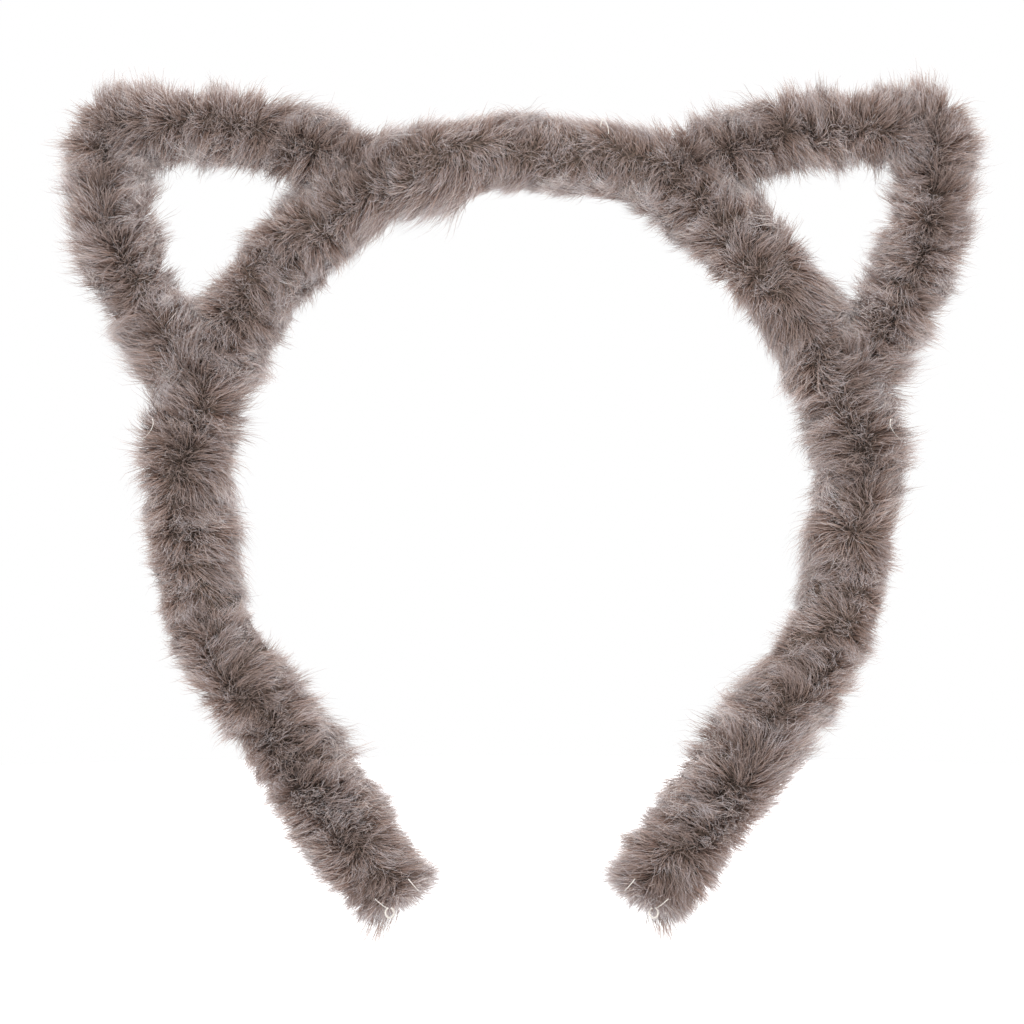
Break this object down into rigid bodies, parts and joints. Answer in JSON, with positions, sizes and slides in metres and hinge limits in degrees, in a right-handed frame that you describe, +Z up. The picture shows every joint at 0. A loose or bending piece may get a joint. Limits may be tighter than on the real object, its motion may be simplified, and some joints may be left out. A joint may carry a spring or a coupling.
{
  "type": "animal ears headband",
  "caption": "Costume headband with two open cat-ear outlines, a spring hoop and bent wire ears sleeved in short taupe faux fur.",
  "frame": {"origin": "centre of the arc that goes round the head, midway between front and back", "axes": "+X to the viewer's right across the ears, +Y from front to back, +Z up to the crown, as worn"},
  "size_m": [0.184, 0.0188, 0.1677],
  "materials": {
    "spring_steel": "satin",
    "ear_wire": "satin",
    "cap_plastic": "matte",
    "cloth_tape": "matte",
    "knit_backing": "matte",
    "sewing_thread": "satin",
    "fur_pile": "matte"
  },
  "bodies": {
    "crown": {"hoop_crown": "spring_steel", "crown_knit": "knit_backing", "crown_seam": "sewing_thread", "crown_fur": "fur_pile"},
    "left_arm": {"left_hoop_arm": "spring_steel", "left_tip_cap": "cap_plastic", "left_ear_wire": "ear_wire", "left_inner_binding": "cloth_tape", "left_outer_binding": "cloth_tape", "left_arm_knit": "knit_backing", "left_ear_knit": "knit_backing", "left_arm_seam": "sewing_thread", "left_ear_seam": "sewing_thread", "left_arm_fur": "fur_pile", "left_ear_top_fur": "fur_pile", "left_ear_side_fur": "fur_pile", "left_ear_stitches": "sewing_thread", "left_tip_stitches": "sewing_thread"},
    "right_arm": {"right_hoop_arm": "spring_steel", "right_tip_cap": "cap_plastic", "right_ear_wire": "ear_wire", "right_inner_binding": "cloth_tape", "right_outer_binding": "cloth_tape", "right_arm_knit": "knit_backing", "right_ear_knit": "knit_backing", "right_arm_seam": "sewing_thread", "right_ear_seam": "sewing_thread", "right_arm_fur": "fur_pile", "right_ear_top_fur": "fur_pile", "right_ear_side_fur": "fur_pile", "right_ear_stitches": "sewing_thread", "right_tip_stitches": "sewing_thread"}
  },
  "joints": [
    {"name": "hoop_spring_left", "type": "hinge", "parent": "crown", "child": "left_arm", "pos_m": [-0.01597, 0, 0.06404], "axis": [0, 1, 0], "range_deg": [-4, 20], "stiffness_Nm_per_rad": 1.2},
    {"name": "hoop_spring_right", "type": "hinge", "parent": "crown", "child": "right_arm", "pos_m": [0.01597, 0, 0.06404], "axis": [0, -1, 0], "range_deg": [-4, 20], "stiffness_Nm_per_rad": 1.2}
  ]
}
